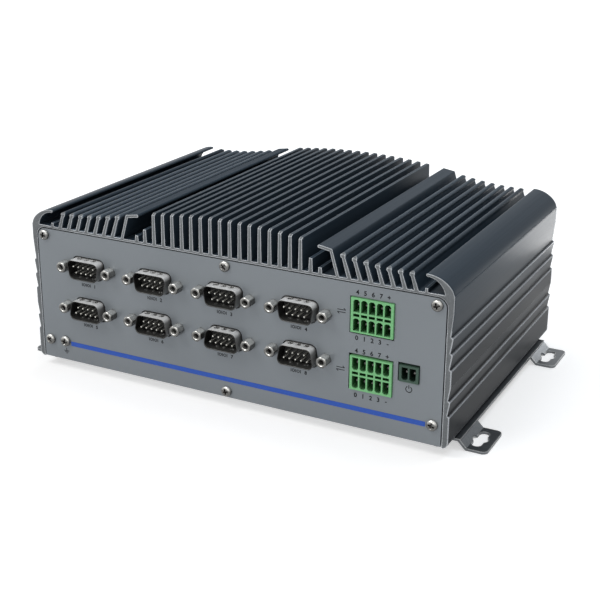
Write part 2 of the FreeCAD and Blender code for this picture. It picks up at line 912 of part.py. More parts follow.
def processor():
    half = cpu_size / 2.0
    return box(cpu_x - half, cpu_x + half, cpu_y - half, cpu_y + half, board_top, board_top + cpu_t)


def thermal_pads():
    half = cpu_size / 2.0
    low = board_top + cpu_t
    chip_pad = box(cpu_x - half, cpu_x + half, cpu_y - half, cpu_y + half, low, low + pad_t)
    dx = block_width / 2.0
    dy = block_depth / 2.0
    deck_pad = box(cpu_x - dx, cpu_x + dx, cpu_y - dy, cpu_y + dy, deck_bottom - pad_t, deck_bottom)
    boss_half = boss_size / 2.0 + board_play
    channel = box(-boss_half, boss_half, front_y, rear_y, deck_bottom - pad_t - 1, deck_bottom + 1)
    return group([chip_pad] + deck_pad.cut(channel).Solids)


def heat_block():
    """Aluminium block that carries the processor's heat up to the deck."""
    dx = block_width / 2.0
    dy = block_depth / 2.0
    low = board_top + cpu_t + pad_t
    block = box(cpu_x - dx, cpu_x + dx, cpu_y - dy, cpu_y + dy, low, deck_bottom - pad_t)
    boss_half = boss_size / 2.0 + board_play
    boss_low = deck_top - centre_screw_drop - boss_size / 2.0 - board_play
    cuts = [box(-boss_half, boss_half, front_y, rear_y, boss_low, deck_bottom)]
    feet = []
    for x, y in block_screw_points():
        feet.append(rod_z(x, y, boss_size, board_top, low))
        cuts.append(rod_z(x, y, boss_hole_d, board_top - 1, board_top + screw_length))
    return block.fuse(feet).cut(cuts)


def memory():
    """Memory module in its socket on the underside of the main board."""
    half = memory_length / 2.0
    memory_x = inner_half - memory_side_gap - memory_clip - half
    mid = board_bottom - socket_height / 2.0
    y0 = main_board_span()[0] + memory_inset - memory_depth / 2.0
    card = box(memory_x - half, memory_x + half, y0, y0 + memory_depth,
               mid - memory_t / 2.0, mid + memory_t / 2.0)
    low = board_bottom - socket_height
    grip_y = y0 + memory_grip
    socket = box(memory_x - half - memory_clip, memory_x + half + memory_clip,
                 grip_y - socket_depth, grip_y, low, board_bottom)
    arms = []
    for edge in (memory_x - half - memory_clip, memory_x + half):
        arms.append(box(edge, edge + memory_clip, y0, y0 + memory_depth, low, board_bottom))
    return card, socket.fuse(arms).removeSplitter().cut(card)


def storage():
    """Solid-state card under the main board, its socket, its post and its screw."""
    card_y = main_board_span()[0] + card_inset
    y0 = card_y - card_width / 2.0
    y1 = card_y + card_width / 2.0
    high = board_bottom - card_lift
    x0 = card_side_gap + card_socket_back - inner_half
    x1 = x0 + card_length
    card = box(x0, x1, y0, y1, high - card_t, high)
    notch = rod_z(x1, card_y, screw_hole_d, high - card_t - 1, high + 1)
    socket = box(x0 - card_socket_back, x0 + card_socket_grip, y0, y1,
                 high - card_t - card_socket_floor, board_bottom)
    socket = socket.cut(box(x0, x0 + card_socket_grip + 1, y0 - 1, y1 + 1, high - card_t, high))
    post = rod_z(x1, card_y, card_post_d, high, board_bottom)
    bolt = upward_screw(x1, card_y, high - card_t, card_t)
    return card.cut(notch), socket, post, bolt


def coin_cell():
    """Clock battery in its holder on the main board."""
    low = board_top + holder_base
    cell = rod_z(cell_x, cell_y, cell_d, low, low + cell_t)
    holder = rod_z(cell_x, cell_y, cell_d + 2 * holder_margin, board_top, low + holder_grip)
    return cell, holder.cut(cell)


def power_coils():
    coils = []
    half = coil_size / 2.0
    for i in range(coil_count):
        x = coil_x + coil_pitch * (i % 2)
        y = coil_y + coil_pitch * (i // 2)
        coil = box(x - half, x + half, y - half, y + half, board_top, board_top + coil_height)
        coils.append(coil.makeChamfer(coil_corner, edges_along(coil, V(0, 0, 1))))
    return group(coils)


def capacitors():
    cans = []
    for i in range(capacitor_count):
        x = capacitor_x + capacitor_pitch * i
        cans.append(rod_z(x, capacitor_y, capacitor_d, board_top, board_top + capacitor_height))
    return group(cans)


# ---- rear connectors -------------------------------------------------------------------
def mouth_y():
    return rear_y + rear_reach


def lan_port(x):
    """Screened modular jack: a stepped mouth, latch side down."""
    y1 = mouth_y()
    z = board_top + lan_height / 2.0
    block = centred_box(x, z, lan_width, lan_height, y1 - lan_length, y1)
    mouth_low = board_top + lan_latch_height + lan_mouth_floor
    mouth_z = mouth_low + lan_mouth_height / 2.0
    mouth = centred_box(x, mouth_z, lan_mouth_width, lan_mouth_height, y1 - lan_mouth_depth, y1 + 1)
    latch_z = mouth_low - lan_latch_height / 2.0
    latch = centred_box(x, latch_z, lan_latch_width, lan_latch_height, y1 - lan_mouth_depth, y1 + 1)
    return block.cut([mouth, latch])


def usb_port(x):
    """Two stacked receptacles, each with its contact tongue."""
    y1 = mouth_y()
    z = board_top + usb_height / 2.0
    block = centred_box(x, z, usb_width, usb_height, y1 - usb_length, y1)
    cuts = []
    tongues = []
    for side in (-1, 1):
        mouth_z = z + side * usb_mouth_pitch / 2.0
        cuts.append(centred_box(x, mouth_z, usb_mouth_width, usb_mouth_height,
                                y1 - usb_mouth_depth, y1 + 1))
        tongue_z = mouth_z + usb_mouth_height / 2.0 - usb_tongue_t / 2.0 - usb_tongue_gap
        tongues.append(centred_box(x, tongue_z, usb_tongue_width, usb_tongue_t,
                                   y1 - usb_mouth_depth, y1 - tongue_recess))
    return block.cut(cuts).fuse(tongues)


def video_outline(width, height, x, z):
    """Rectangle with one lower corner cut off."""
    half_w = width / 2.0
    half_h = height / 2.0
    cut = height * video_corner_share
    return [(x - half_w + cut, z - half_h), (x + half_w, z - half_h), (x + half_w, z + half_h),
            (x - half_w, z + half_h), (x - half_w, z - half_h + cut)]


def video_port():
    """Digital display receptacle with one cut corner and a tongue."""
    y1 = mouth_y()
    z = board_top + video_height / 2.0
    block = centred_box(video_x, z, video_width, video_height, y1 - video_length, y1)
    outline = video_outline(video_mouth_width, video_mouth_height, video_x, z)
    mouth = prism_y(outline, y1 - video_mouth_depth, y1 + 1)
    tongue = centred_box(video_x, z, video_tongue_width, video_tongue_t,
                         y1 - video_mouth_depth, y1 - tongue_recess)
    return block.cut(mouth).fuse(tongue)


def power_inlet():
    """Three-pole plug-in header for the direct-current supply."""
    y1 = mouth_y()
    width = inlet_poles * inlet_pole_pitch + 2 * inlet_margin
    z = board_top + inlet_height / 2.0
    block = centred_box(inlet_x, z, width, inlet_height, y1 - inlet_length, y1)
    cuts = []
    pins = []
    for i in range(inlet_poles):
        px = inlet_x + (i - (inlet_poles - 1) / 2.0) * inlet_pole_pitch
        cuts.append(centred_box(px, z + inlet_cavity_lift, inlet_cavity, inlet_cavity_height,
                                y1 - inlet_cavity_depth, y1 + 1))
        pins.append(centred_box(px, z, inlet_pin, inlet_pin,
                                y1 - inlet_cavity_depth, y1 - inlet_pin_recess))
    return block.cut(cuts), group(pins)


def hole_plug(x):
    """Blanking plug in an antenna hole."""
    z = body_z + plug_z
    cap = rod_y(x, z, plug_d, rear_y, rear_y + plug_cap_t)
    stem = rod_y(x, z, plug_hole_d - rear_play, rear_y - plug_stem_length, rear_y)
    return cap.fuse(stem)


def rear_cutouts(y0, y1):
    cuts = []

    def window(x, width, height):
        cuts.append(box(x - width / 2.0 - rear_play, x + width / 2.0 + rear_play, y0, y1,
                        board_top - rear_play, board_top + height + rear_play))
    for x in lan_x:
        window(x, lan_width, lan_height)
    for x in usb_x:
        window(x, usb_width, usb_height)
    window(video_x, video_width, video_height)
    window(inlet_x, inlet_poles * inlet_pole_pitch + 2 * inlet_margin, inlet_height)
    for x in plug_x:
        cuts.append(rod_y(x, body_z + plug_z, plug_hole_d, y0, y1))
    return cuts


def rear_panel():
    panel = panel_blank(0, seat_rear_y, rear_y, panel_z)
    y0 = seat_rear_y - 1
    y1 = rear_y + 1
    cuts = rear_cutouts(y0, y1)
    for x, z in panel_screw_points() + [(0.0, body_z + centre_screw_rise)]:
        cuts.append(rod_y(x, z, screw_hole_d, y0, y1))
    return panel.cut(cuts)


# ---- fasteners -------------------------------------------------------------------------
def panel_screws(y, side):
    """Screws of one panel: five into the housing and one into the cover's tab."""
    tab_length = panel_t + cover_t + tab_screw_extra
    screws = [placed(screw(screw_head_d, screw_length, side), x, y, z) for x, z in panel_screw_points()]
    screws.append(placed(screw(screw_head_d, tab_length, side), 0.0, y, body_z + centre_screw_rise))
    return group(screws)


def sheet_screws(points, seat_z, length):
    return group([upward_screw(x, y, seat_z, length) for x, y in points])


# ---- write every node ------------------------------------------------------------------
save(housing(), "heatsink_housing")
save(front_panel(), "front_panel")
save(rear_panel(), "rear_panel")
save(stripe(), "panel_stripe")
save(bottom_cover(), "bottom_cover")
save(mounting_plate(), "mounting_plate")

for number, (port_x, port_z, port_up) in enumerate(port_points(), start=1):
    save(port_shell(port_x, port_z, port_up), "serial_shell_%d" % number)
    save(port_insulator(port_x, port_z, port_up), "serial_insulator_%d" % number)
all_pins = []
all_jacks = []
for port_x, port_z, port_up in port_points():
    all_pins += port_pins(port_x, port_z, port_up)
    for jack_side in (-1, 1):
        all_jacks.append(jackscrew(port_x + jack_side * jack_pitch / 2.0, port_z))
save(group(all_pins), "serial_pins")
save(group(all_jacks), "serial_jackscrews")

plug_pins = header_pins(remote_x, [body_z + remote_rise], remote_poles)
for number, (block_x, block_z, block_key_up) in enumerate(header_points(), start=1):
    save(terminal_header(block_x, block_z, block_key_up), "signal_header_%d" % number)
    plug_pins += header_pins(block_x, header_row_z(block_z, block_key_up), header_poles)
save(remote_header(), "remote_header")
save(group(plug_pins), "header_pins")

save(panel_screws(front_y, -1), "front_panel_screws")
save(panel_screws(rear_y, 1), "rear_panel_screws")
ground_x, ground_z = ground_screw_point()
save(placed(screw(ground_head_d, panel_t + 2.0), ground_x, front_y, ground_z), "ground_screw")
save(sheet_screws(cover_screw_points(), body_z, cover_t + rail_t), "cover_screws")
save(sheet_screws(plate_screw_points(), ear_drop, plate_t + cover_t + rail_t), "mounting_plate_screws")

save(io_board(), "front_io_board")
save(main_board(), "main_board")
save(link_connector(), "board_link_connector")
save(processor(), "processor")
save(thermal_pads(), "thermal_pads")
save(heat_block(), "heat_block")
save(sheet_screws(block_screw_points(), board_bottom, board_t + screw_length - 1), "heat_block_screws")
memory_card, memory_socket = memory()
save(memory_card, "memory_module")
save(memory_socket, "memory_socket")
storage_card, storage_socket, storage_post, storage_bolt = storage()
save(storage_card, "storage_card")
save(storage_socket, "storage_socket")
save(storage_post, "storage_post")
save(storage_bolt, "storage_screw")
cell, cell_holder = coin_cell()
save(cell, "clock_battery")
save(cell_holder, "clock_battery_holder")
save(power_coils(), "power_coils")
save(capacitors(), "capacitors")

for number, jack_x in enumerate(lan_x, start=1):
    save(lan_port(jack_x), "network_port_%d" % number)
for number, stack_x in enumerate(usb_x, start=1):
    save(usb_port(stack_x), "usb_port_%d" % number)
save(video_port(), "display_port")
inlet_block, inlet_pins = power_inlet()
save(inlet_block, "power_inlet")
save(inlet_pins, "power_inlet_pins")
save(group([hole_plug(x) for x in plug_x]), "antenna_hole_plugs")
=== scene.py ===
import json
import math

import bmesh
import bpy
from mathutils import Matrix, Vector

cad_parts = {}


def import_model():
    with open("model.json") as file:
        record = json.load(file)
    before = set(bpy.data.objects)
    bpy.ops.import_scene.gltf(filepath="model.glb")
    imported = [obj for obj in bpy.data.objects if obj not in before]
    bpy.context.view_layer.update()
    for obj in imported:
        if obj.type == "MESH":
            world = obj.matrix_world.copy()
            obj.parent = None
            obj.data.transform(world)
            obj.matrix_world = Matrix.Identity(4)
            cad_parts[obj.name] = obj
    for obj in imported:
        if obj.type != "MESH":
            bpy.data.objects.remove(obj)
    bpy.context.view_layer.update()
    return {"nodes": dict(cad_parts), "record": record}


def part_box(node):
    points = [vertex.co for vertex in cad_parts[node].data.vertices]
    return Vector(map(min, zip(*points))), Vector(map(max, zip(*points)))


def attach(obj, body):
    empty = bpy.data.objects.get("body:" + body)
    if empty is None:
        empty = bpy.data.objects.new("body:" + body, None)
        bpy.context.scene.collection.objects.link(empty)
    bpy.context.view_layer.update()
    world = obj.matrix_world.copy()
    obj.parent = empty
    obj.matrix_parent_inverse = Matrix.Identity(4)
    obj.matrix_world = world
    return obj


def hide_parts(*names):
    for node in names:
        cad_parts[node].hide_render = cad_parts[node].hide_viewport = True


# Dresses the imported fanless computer: materials on the CAD nodes, detailed pieces for the
# connectors and fasteners, the printed marks, and a plain studio.  Metres, the row's frame.

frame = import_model()
MM = 0.001

# ---- places taken from the frame --------------------------------------------------------
PANEL_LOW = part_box("front_panel")[0]
PANEL_FACE = PANEL_LOW.y
REAR_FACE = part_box("rear_panel")[1].y
PLATE_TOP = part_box("mounting_plate")[1].z

# ---- sizes of the details ---------------------------------------------------------------
# Thickness of the panels and of the mounting plate.
SHEET = 1.2 * MM

# Serial ports. The upper row has its long side up, the lower row has it down.
PORTS = range(1, 9)
UPPER_PORTS = (1, 2, 3, 4)
SHELL_WALL = 0.4 * MM
SHELL_CORNER = 2.4 * MM
SHELL_WIDTH = 17.9 * MM
SHELL_HEIGHT = 9.3 * MM
SHELL_SLOPE = math.radians(10.0)
CORNER_STEPS = 7
OUTLINE_STEP = 0.35 * MM
WALL_STEPS = 22
LIP_STEPS = 6

# Dimples pressed into a shell's long sides. Their place is a share of the way from the lip to
# the panel, and a lower power makes them flatter, with steeper sides.
DIMPLE_PITCH = 3.8 * MM
DIMPLE_RADIUS = 1.25 * MM
DIMPLE_DEPTH = 0.8 * MM
DIMPLE_PLACE = 0.62
DIMPLE_POWER = 0.7
LONG_SIDE = 0.45 * SHELL_HEIGHT

# Contacts of the ports, and the hexagonal screw locks beside them.
PIN_RADIUS = 0.5 * MM
PIN_TIP = 1.1 * PIN_RADIUS
PIN_TIP_STEPS = 6
PIN_SIDES = 14
LOCK_FLATS = 4.76 * MM
LOCK_HOLE = 1.3 * MM
LOCK_THREAD_START = 0.3 * MM
LOCK_THREAD_PITCH = 0.64 * MM
LOCK_THREAD_CREST = 0.83 * LOCK_HOLE
LOCK_FLOOR = 0.6 * MM
LOCK_SIDES = 48
LOCK_TURN = math.radians(17.0)

# Screws, as shares of their head's radius or height.
SHANK = 0.56
HEAD_RIM_START = 0.1
HEAD_RIM_END = 0.35
HEAD_CROWN = 0.42
HEAD_CROWN_STEPS = 7
SCREW_SIDES = 40
SCREW_TURN = math.radians(31.0)
SCREW_FIRST_TURN = math.radians(12.0)

# Print on the front panel. Weight and size are shares of a figure's height.
PRINT_LIFT = 0.02 * MM
PRINT_DEPTH = 0.05 * MM
PRINT_WEIGHT = 0.035
FONT_SIZE = 1.38
LINE = 0.3 * MM
ARC_STEPS = 20
HEADER_POLES = 5
POLE_PITCH = 3.5 * MM

# Places where the housing's finish, painted highlights and shade change: distances from its middle
# plane, and heights.
FLANGE_START = 44.6 * MM
FLANGE_END = 52.5 * MM
LIP_START = 82.0 * MM
LIP_FULL = 84.0 * MM
WALL_START = 90.0 * MM
RAMP_FACE = 103.5 * MM
TONE_LOW = 36.0 * MM
LIP_LOW = 56.5 * MM
RAMP_TOP = 64.1 * MM
TONE_HIGH = 70.0 * MM

# How much the wall's top ramp leans, and the height over which its shading turns.
RAMP_SLOPE = 0.089
LEAN_LENGTH = 7.0 * MM

# How far the paler edges, partly wear and partly painted highlight, reach in from an edge of the
# housing, and the share of that reach left on the walls.
WEAR_AND_HIGHLIGHT_LEAST = 0.45 * MM
WEAR_AND_HIGHLIGHT_MOST = 1.45 * MM
WALL_WEAR_AND_HIGHLIGHT = 0.45

# Shaded radius of the housing's edges, and of the facets of its corner lips.
EDGE_RADIUS = 0.18 * MM
LIP_RADIUS = 1.8 * MM

# ---- node helpers -----------------------------------------------------------------------
MATHS = "ShaderNodeMath"
VECTOR_MATHS = "ShaderNodeVectorMath"
OCCLUSION_SAMPLES = 6
# A Mix node's sockets for colours, which share their names with those for numbers.
MIX_FIRST = 6
MIX_SECOND = 7
MIX_RESULT = 2


def new_material(name):
    """A material, its node tree and its Principled shader."""
    material = bpy.data.materials.new(name)
    material.use_nodes = True
    tree = material.node_tree
    return material, tree, tree.nodes["Principled BSDF"]


def feed(tree, socket, value):
    """Gives an input another node's output, a colour or a number."""
    if isinstance(value, bpy.types.NodeSocket):
        tree.links.new(value, socket)
    elif isinstance(value, tuple):
        socket.default_value = (*value, 1.0)
    else:
        socket.default_value = value


def finish(tree, shader, inputs):
    """Feeds a shader's inputs by their names."""
    for name, value in inputs.items():
        feed(tree, shader.inputs[name], value)


def object_position(tree, scale=(1.0, 1.0, 1.0)):
    """Object coordinates, stretched by a scale on each axis."""
    coords = tree.nodes.new("ShaderNodeTexCoord")
    mapping = tree.nodes.new("ShaderNodeMapping")
    mapping.inputs["Scale"].default_value = scale
    tree.links.new(coords.outputs["Object"], mapping.inputs["Vector"])
    return mapping.outputs["Vector"]


def noise(tree, frequency, detail=3.0, scale=(1.0, 1.0, 1.0)):
    """Noise over the object, finer along an axis with a larger scale."""
    texture = tree.nodes.new("ShaderNodeTexNoise")
    texture.inputs["Scale"].default_value = frequency
    texture.inputs["Detail"].default_value = detail
    tree.links.new(object_position(tree, scale), texture.inputs["Vector"])
    return texture.outputs["Fac"]


def shades(tree, value, low, high, spread=0.2):
    """Colour that turns from one shade to another around the middle of a noise."""
    node = tree.nodes.new("ShaderNodeValToRGB")
    points = node.color_ramp.elements
    for i, position, colour in ((0, 0.5 - spread, low), (1, 0.5 + spread, high)):
        points[i].position = position
        points[i].color = (*colour, 1.0)
    tree.links.new(value, node.inputs["Fac"])
    return node.outputs["Color"]


def remap(tree, value, low, high, from_low=0.0, from_high=1.0):
    """Value that goes from low to high as another goes from from_low to from_high."""
    node = tree.nodes.new("ShaderNodeMapRange")
    node.inputs["From Min"].default_value = from_low
    node.inputs["From Max"].default_value = from_high
    node.inputs["To Min"].default_value = low
    node.inputs["To Max"].default_value = high
    tree.links.new(value, node.inputs["Value"])
    return node.outputs["Result"]


def rise(tree, value, start, end):
    """0 up to start, 1 from end on."""
    return remap(tree, value, 0.0, 1.0, start, end)


def fall(tree, value, start, end):
    """1 up to start, 0 from end on."""
    return remap(tree, value, 1.0, 0.0, start, end)


def mix_colour(tree, factor, first, second):
    """Blend of two colours, each of them fixed or from a node."""
    node = tree.nodes.new("ShaderNodeMix")
    node.data_type = "RGBA"
    tree.links.new(factor, node.inputs["Factor"])
    feed(tree, node.inputs[MIX_FIRST], first)
    feed(tree, node.inputs[MIX_SECOND], second)
    return node.outputs[MIX_RESULT]


def calculate(tree, kind, operation, *values, result="Value"):
    """Result of a Math or Vector Math node over one or two outputs of nodes."""
    node = tree.nodes.new(kind)
    node.operation = operation
    for socket, value in zip(node.inputs, values):
        tree.links.new(value, socket)
    return node.outputs[result]


def product(tree, first, *others):
    """Values multiplied with each other."""
    total = first
    for other in others:
        total = calculate(tree, MATHS, "MULTIPLY", total, other)
    return total


def part_of(tree, vector, axis, absolute=False):
    """One component of a vector, or its size."""
    split = tree.nodes.new("ShaderNodeSeparateXYZ")
    tree.links.new(vector, split.inputs["Vector"])
    value = split.outputs[axis]
    return calculate(tree, MATHS, "ABSOLUTE", value) if absolute else value


def normal(tree, name):
    """The shaded normal, Normal, or the facet's own, True Normal."""
    return tree.nodes.new("ShaderNodeNewGeometry").outputs[name]


def off_centre(tree):
    """Distance from the middle plane."""
    return part_of(tree, object_position(tree), "X", absolute=True)


def height_of(tree):
    """Height over the face that the unit stands on."""
    return part_of(tree, object_position(tree), "Z")


def bump(tree, shader, height, strength, depth, edge, samples=4, lean=None):
    """Bump from a height, over edges rounded by a radius, which is a number or a node's output.

    lean is an upward vector that is added to the normal.
    """
    rounded = tree.nodes.new("ShaderNodeBevel")
    rounded.samples = samples
    feed(tree, rounded.inputs["Radius"], edge)
    base = rounded.outputs["Normal"]
    if lean:
        total = calculate(tree, VECTOR_MATHS, "ADD", base, lean, result="Vector")
        base = calculate(tree, VECTOR_MATHS, "NORMALIZE", total, result="Vector")
    node = tree.nodes.new("ShaderNodeBump")
    finish(tree, node, {"Strength": strength, "Distance": depth, "Height": height, "Normal": base})
    tree.links.new(node.outputs["Normal"], shader.inputs["Normal"])


def occlusion(tree, distance, inside, alone=True):
    """How open a point is within a distance, outside the surface or inside it.

    alone leaves out what other objects cover.
    """
    node = tree.nodes.new("ShaderNodeAmbientOcclusion")
    node.samples = OCCLUSION_SAMPLES
    node.inside = inside
    node.only_local = alone
    feed(tree, node.inputs["Distance"], distance)
    return node.outputs["AO"]


def edges(tree, distance, start, end):
    """1 along outward edges, 0 on open faces."""
    return fall(tree, occlusion(tree, distance, True), start, end)


def crevices(tree, distance, start, end, alone=True):
    """1 in corners and cavities, 0 on open faces."""
    return fall(tree, occlusion(tree, distance, False, alone), start, end)


# ---- where the housing's finish, painted highlights and shade change --------------------
def milled_ends(tree):
    """1 where a face looks along Y, and on the chamfers beside it."""
    return rise(tree, part_of(tree, normal(tree, "True Normal"), "Y", absolute=True), 0.3, 0.4)


def across(tree, start, end, fade=0.3 * MM):
    """1 in a strip between two places along X."""
    place = part_of(tree, object_position(tree), "X")
    return product(tree, rise(tree, place, start, start + fade), fall(tree, place, end - fade, end))


def wear_reach(tree):
    """Distance that the paler edges cover, partly wear and partly painted highlight: least on the
    centre fins, most on the round fin heads.
    """
    heads = remap(tree, off_centre(tree), WEAR_AND_HIGHLIGHT_LEAST, WEAR_AND_HIGHLIGHT_MOST, FLANGE_END, FLANGE_END + 2.0 * MM)
    walls = remap(tree, off_centre(tree), 1.0, WALL_WEAR_AND_HIGHLIGHT, LIP_START, LIP_FULL)
    return product(tree, heads, walls)


def side_walls(tree, low, high):
    """1 on the grooved walls, fading out between two heights."""
    aside = rise(tree, off_centre(tree), WALL_START, WALL_START + MM)
    return product(tree, aside, fall(tree, height_of(tree), low, high))


def lip_rounding(tree):
    """Radius that blends the facets of the two corner lips and keeps other edges crisp."""
    aside = rise(tree, off_centre(tree), LIP_START, LIP_FULL)
    above = rise(tree, height_of(tree), LIP_LOW, LIP_LOW + MM)
    return remap(tree, product(tree, aside, above), EDGE_RADIUS, LIP_RADIUS)


def wall_lean(tree):
    """Turns the shading at the outer wall's top gradually into the corner lip's curve."""
    height = height_of(tree)
    gradual = remap(tree, height, 0.0, RAMP_SLOPE, RAMP_TOP - LEAN_LENGTH, RAMP_TOP)
    below = fall(tree, height, RAMP_TOP, RAMP_TOP + 0.02 * MM)
    outwards = part_of(tree, normal(tree, "True Normal"), "X", absolute=True)
    facing = rise(tree, outwards, 0.98, 0.985)
    aside = rise(tree, off_centre(tree), RAMP_FACE, RAMP_FACE + 0.1 * MM)
    vector = tree.nodes.new("ShaderNodeCombineXYZ")
    tree.links.new(product(tree, gradual, below, facing, aside), vector.inputs["Z"])
    return vector.outputs["Vector"]


# ---- materials --------------------------------------------------------------------------
def scaled(colour, share):
    """A colour made darker or lighter."""
    return tuple(channel * share for channel in colour)


def housing_material():
    """Dark blue-grey anodised extrusion whose milled ends and end chamfers are paler metal.

    The picture shows its tone change with the place, so the walls fade to a neutral grey, the
    crests of the left leaning fins are paler with a painted highlight, and the left flange has less
    gloss.
    """
    neutral = (0.0285, 0.031, 0.034)
    crest_wear_and_highlight = (0.20, 0.245, 0.29)
    left_crest_highlight = (0.32, 0.38, 0.44)
    groove_highlight = (0.55, 0.58, 0.62)
    groove_crease_shade = (0.005, 0.006, 0.008)
    bright_edge = (0.84, 0.87, 0.90)
    shade = (0.010, 0.015, 0.020)

    material, tree, shader = new_material("anodised_extrusion")
    streaks = noise(tree, 1.0, 4.0, (900.0, 6.0, 900.0))
    dark = shades(tree, streaks, (0.024, 0.037, 0.052), (0.031, 0.046, 0.063))
    toned = mix_colour(tree, side_walls(tree, TONE_LOW, TONE_HIGH), dark, neutral)

    # Painted highlight: the crests of the left leaning fins are lighter than the others.
    pale = mix_colour(tree, across(tree, -LIP_START, -FLANGE_END), crest_wear_and_highlight, left_crest_highlight)
    # Paler edges and fin crests: partly wear, partly a painted highlight along the crests.
    painted_light_layers = mix_colour(tree, edges(tree, wear_reach(tree), 0.35, 0.9), toned, pale)

    # Painted highlight lines along the steps of the wall's grooves.
    wall = side_walls(tree, LIP_LOW, LIP_LOW + MM)
    lines = product(tree, wall, edges(tree, 1.0 * MM, 0.78, 0.985))
    painted_light_layers = mix_colour(tree, lines, painted_light_layers, groove_highlight)
    # Painted shade in the creases of the wall's grooves.
    creases = product(tree, wall, crevices(tree, 1.6 * MM, 0.66, 0.93))
    painted_light_layers = mix_colour(tree, creases, painted_light_layers, groove_crease_shade)

    milled = milled_ends(tree)
    bare = shades(tree, noise(tree, 1100.0), (0.135, 0.143, 0.15), (0.175, 0.185, 0.192))
    # Painted glint along the edges of the milled ends.
    bright = mix_colour(tree, edges(tree, 0.5 * MM, 0.4, 0.9), bare, bright_edge)
    surface = mix_colour(tree, milled, painted_light_layers, bright)
    # Painted shade in gaps and corners, where other objects cover the housing too.
    gaps = crevices(tree, 1.4 * MM, 0.2, 0.68, alone=False)

    flange = across(tree, -FLANGE_END, -FLANGE_START)
    finish(tree, shader, {"Base Color": mix_colour(tree, gaps, surface, shade),
                          "Metallic": remap(tree, milled, 0.0, 0.3),
                          "Roughness": remap(tree, noise(tree, 9.0, 2.0), 0.32, 0.42),
                          "Specular IOR Level": remap(tree, flange, 0.05, 0.005)})
    bump(tree, shader, streaks, 0.2, 0.05 * MM, lip_rounding(tree), 12, wall_lean(tree))
    return material


def panel_material():
    """Grey satin paint with a fine grain, and painted shade in the panel's corners."""
    shade = (0.03, 0.032, 0.035)
    material, tree, shader = new_material("grey_satin_paint")
    grain = noise(tree, 2600.0)
    clouds = noise(tree, 14.0, 2.0)
    colour = shades(tree, clouds, (0.192, 0.212, 0.230), (0.212, 0.233, 0.252))
    # Painted shade in the panel's corners.
    corners = crevices(tree, 1.2 * MM, 0.15, 0.6)
    finish(tree, shader, {"Base Color": mix_colour(tree, corners, colour, shade),
                          "Metallic": 0.2,
                          "Roughness": remap(tree, grain, 0.32, 0.44)})
    bump(tree, shader, grain, 0.2, 0.05 * MM, 0.15 * MM)
    return material


def sheet_material(name, low, high, metallic, roughness):
    """Sheet metal with a faint rolled grain along X, paler along its shear-cut edges, partly bare metal
    and partly painted highlight.
    """
    sheared_and_highlit = (0.52, 0.525, 0.52)
    material, tree, shader = new_material(name)
    grain = noise(tree, 1.0, 3.0, (30.0, 1200.0, 1200.0))
    rolled = shades(tree, grain, low, high)
    # Paler shear-cut edges: partly bare metal, partly a painted highlight.
    rim = edges(tree, 0.8 * MM, 0.3, 0.85)
    finish(tree, shader, {"Base Color": mix_colour(tree, rim, rolled, sheared_and_highlit),
                          "Metallic": metallic,
                          "Roughness": remap(tree, grain, roughness - 0.05, roughness + 0.08)})
    bump(tree, shader, grain, 0.2, 0.05 * MM, 0.2 * MM)
    return material


def metal_material(name, colour, roughness, metallic=0.85, depth=2.4 * MM, start=0.2, end=0.75):
    """Plated or bare metal with faint mottling, and painted shade in its corners and on faces that do
    not look up.

    depth is how far away something, other objects included, can cover a point and give it painted
    shade. The shade is full where a point is as open as start, and gone from end on.
    """
    crevice_shade = scaled(colour, 0.07)
    underside_shade = scaled(colour, 0.16)
    material, tree, shader = new_material(name)
    mottle = noise(tree, 420.0)
    plated = shades(tree, mottle, scaled(colour, 0.84), colour, spread=0.15)
    # Painted shade on faces that do not look up, fading out as they turn upwards.
    underneath = fall(tree, part_of(tree, normal(tree, "Normal"), "Z"), 0.1, 0.8)
    painted_light_layers = mix_colour(tree, underneath, plated, underside_shade)
    # Painted shade in the metal's own corners.
    painted_light_layers = mix_colour(tree, crevices(tree, 1.2 * MM, 0.3, 0.62), painted_light_layers, crevice_shade)
    # Painted shade where other objects cover it.
    covered = crevices(tree, depth, start, end, alone=False)
    finish(tree, shader, {"Base Color": mix_colour(tree, covered, painted_light_layers, crevice_shade),
                          "Metallic": metallic,
                          "Roughness": remap(tree, mottle, roughness * 0.8, roughness * 1.3)})
    bump(tree, shader, mottle, 0.08, 0.04 * MM, 0.12 * MM)
    return material


def plastic_material(name, colour, roughness, specular=0.3, depth=0.0):
    """Moulded plastic with a fine spark-eroded texture; depth is how far painted shade reaches into its
    cavities.
    """
    material, tree, shader = new_material(name)
    texture = noise(tree, 1900.0)
    surface = shades(tree, texture, colour, scaled(colour, 1.12), spread=0.15)
    if depth:
        # Painted shade in the cavities: a darker copy of the plastic's colour.
        red, green, blue = colour
        shade = (red * 0.02, green * 0.10, blue * 0.03)
        surface = mix_colour(tree, crevices(tree, depth, 0.25, 0.75), surface, shade)
    finish(tree, shader, {"Base Color": surface,
                          "Specular IOR Level": specular,
                          "Roughness": remap(tree, texture, roughness - 0.05, roughness + 0.08)})
    bump(tree, shader, texture, 0.15, 0.04 * MM, 0.1 * MM)
    return material


